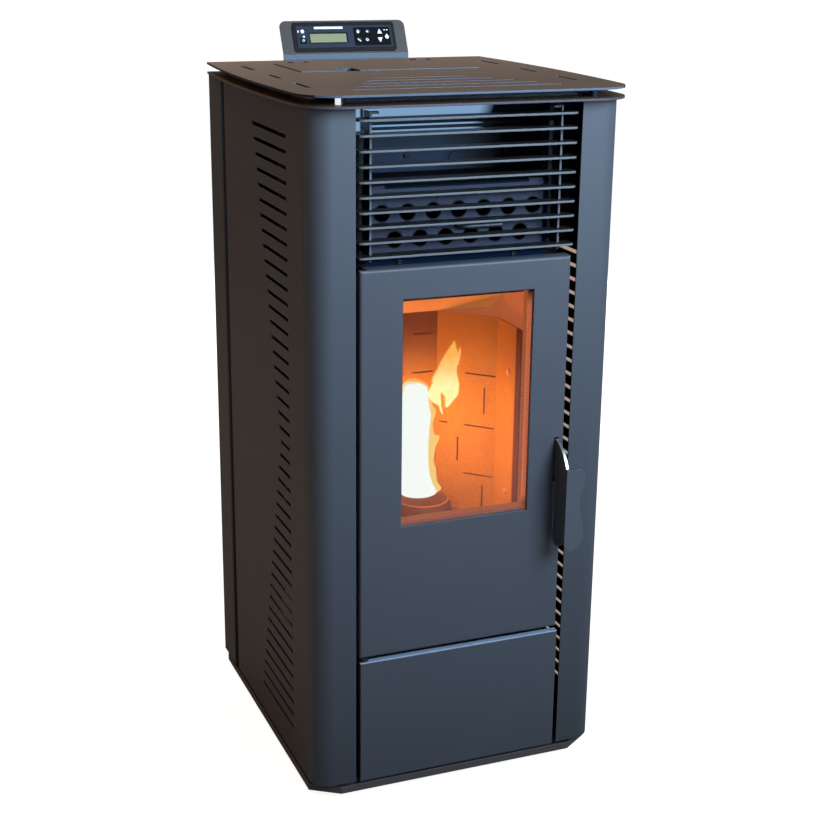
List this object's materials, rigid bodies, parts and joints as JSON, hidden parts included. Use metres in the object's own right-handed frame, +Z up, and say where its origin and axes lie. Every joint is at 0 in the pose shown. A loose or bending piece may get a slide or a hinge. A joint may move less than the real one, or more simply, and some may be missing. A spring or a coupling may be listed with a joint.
{
  "type": "pellet stove",
  "caption": "Free-standing pellet stove with a glazed fire door on a lever latch, slotted side panels, a louvred warm-air grille, a hopper lid, an ash drawer and a tilted control panel.",
  "frame": {"origin": "centre of the bounding box's underside, on the floor between the feet", "axes": "+Z up, the fire door faces -Y, +X is to the right seen from the room"},
  "size_m": [0.484, 0.589, 1.0674],
  "materials": {
    "tray_paint": "matt powder coat, dark warm grey",
    "casing_paint": "fine textured matt powder coat, anthracite",
    "top_paint": "fine textured matt powder coat, warm grey under light",
    "front_paint": "fine textured matt powder coat, slate anthracite",
    "spacer_paint": "matt black paint",
    "fire_steel": "heat resistant black paint, rough",
    "liner_steel": "heat tinted steel, matt",
    "pot_iron": "cast, sooty",
    "bare_steel": "bare steel",
    "zinc_sheet": "zinc coated sheet, dull",
    "fan_aluminium": "satin aluminium",
    "motor_black": "black lacquer",
    "door_glass": "heat resistant glass ceramic, clear",
    "display_glass": "green display behind a clear window",
    "seal_rope": "woven glass fibre rope, grey",
    "foot_rubber": "black rubber",
    "panel_face": "slate blue grey face, matt",
    "key_black": "black plastic, satin",
    "switch_red": "red plastic, glossy"
  },
  "bodies": {
    "stove": {"base_tray": "tray_paint", "foot_pads": "foot_rubber", "right_casing": "casing_paint", "left_casing": "casing_paint", "rear_cover": "casing_paint", "rim_plate": "top_paint", "top_plate": "top_paint", "plate_spacers": "spacer_paint", "plate_screws": "bare_steel", "lid_hinge": "bare_steel", "hopper": "zinc_sheet", "auger_tube": "zinc_sheet", "auger_gearmotor": "motor_black", "feed_chute": "zinc_sheet", "firebox": "fire_steel", "firebox_liner": "liner_steel", "baffle_plate": "liner_steel", "igniter": "bare_steel", "exchanger_plates": "fire_steel", "exchanger_tubes": "fire_steel", "front_frame": "casing_paint", "grille_lamellae": "front_paint", "grille_combs": "front_paint", "air_deflector": "front_paint", "heat_shield": "zinc_sheet", "latch_catch": "bare_steel", "exhaust_fan_housing": "zinc_sheet", "flue_spigot": "bare_steel", "air_intake_pipe": "bare_steel", "convection_fan_housing": "zinc_sheet", "fan_motors": "motor_black", "control_bracket": "casing_paint", "control_housing": "panel_face", "display_window": "display_glass", "keypad_frame": "key_black", "power_inlet": "key_black"},
    "door": {"fire_door": "front_paint", "door_inner_frame": "fire_steel", "door_glass": "door_glass", "glass_gasket": "seal_rope", "door_gasket": "seal_rope", "glass_clips": "bare_steel", "lever_bracket": "bare_steel"},
    "lever": {"door_lever": "front_paint"},
    "lid": {"hopper_lid": "top_paint"},
    "drawer": {"lower_panel": "front_paint", "ash_drawer": "zinc_sheet"},
    "pot": {"burn_pot": "pot_iron"},
    "scraper": {"tube_scraper": "bare_steel"},
    "feed_screw": {"auger_screw": "bare_steel"},
    "flue_impeller": {"exhaust_impeller": "bare_steel"},
    "room_impeller": {"convection_impeller": "fan_aluminium"},
    "rocker": {"rocker_switch": "switch_red"},
    "menu_key": {"menu_button": "key_black"},
    "set_key": {"set_button": "key_black"},
    "timer_key": {"timer_button": "key_black"},
    "mode_key": {"mode_button": "key_black"},
    "up_key": {"up_button": "key_black"},
    "down_key": {"down_button": "key_black"},
    "power_key": {"power_button": "key_black"}
  },
  "joints": [
    {"name": "door_hinge", "type": "hinge", "parent": "stove", "child": "door", "pos_m": [-0.148, -0.2485, 0.502], "axis": [0, 0, -1], "range_deg": [0, 110]},
    {"name": "lever_turn", "type": "hinge", "parent": "door", "child": "lever", "pos_m": [0.1415, -0.2395, 0.472], "axis": [-1, 0, 0], "range_deg": [0, 30]},
    {"name": "lid_hinge_turn", "type": "hinge", "parent": "stove", "child": "lid", "pos_m": [0, 0.1775, 1.01], "axis": [-1, 0, 0], "range_deg": [0, 95]},
    {"name": "drawer_slide", "type": "slide", "parent": "stove", "child": "drawer", "axis": [0, -1, 0], "range_m": [0, 0.18]},
    {"name": "pot_lift", "type": "slide", "parent": "stove", "child": "pot", "axis": [0, 0, 1], "range_m": [0, 0.07]},
    {"name": "scraper_pull", "type": "slide", "parent": "stove", "child": "scraper", "axis": [0, -1, 0], "range_m": [0, 0.16]},
    {"name": "auger_spin", "type": "hinge", "parent": "stove", "child": "feed_screw", "pos_m": [0, 0.1465, 0.44], "axis": [0, -0.7071, 0.7071], "continuous": true},
    {"name": "flue_fan_spin", "type": "hinge", "parent": "stove", "child": "flue_impeller", "pos_m": [0.09, 0.0365, 0.17], "axis": [0, 1, 0], "continuous": true},
    {"name": "room_fan_spin", "type": "hinge", "parent": "stove", "child": "room_impeller", "pos_m": [0, 0.1665, 0.098], "axis": [1, 0, 0], "continuous": true},
    {"name": "rocker_tilt", "type": "hinge", "parent": "stove", "child": "rocker", "pos_m": [0.15, 0.2315, 0.11], "axis": [1, 0, 0], "range_deg": [0, 12]},
    {"name": "menu_press", "type": "slide", "parent": "stove", "child": "menu_key", "axis": [0, 0.8988, -0.4384], "range_m": [0, 0.0012], "stiffness_N_per_m": 500},
    {"name": "set_press", "type": "slide", "parent": "stove", "child": "set_key", "axis": [0, 0.8988, -0.4384], "range_m": [0, 0.0012], "stiffness_N_per_m": 500},
    {"name": "timer_press", "type": "slide", "parent": "stove", "child": "timer_key", "axis": [0, 0.8988, -0.4384], "range_m": [0, 0.0012], "stiffness_N_per_m": 500},
    {"name": "mode_press", "type": "slide", "parent": "stove", "child": "mode_key", "axis": [0, 0.8988, -0.4384], "range_m": [0, 0.0012], "stiffness_N_per_m": 500},
    {"name": "up_press", "type": "slide", "parent": "stove", "child": "up_key", "axis": [0, 0.8988, -0.4384], "range_m": [0, 0.0012], "stiffness_N_per_m": 500},
    {"name": "down_press", "type": "slide", "parent": "stove", "child": "down_key", "axis": [0, 0.8988, -0.4384], "range_m": [0, 0.0012], "stiffness_N_per_m": 500},
    {"name": "power_press", "type": "slide", "parent": "stove", "child": "power_key", "axis": [0, 0.8988, -0.4384], "range_m": [0, 0.0012], "stiffness_N_per_m": 500}
  ]
}
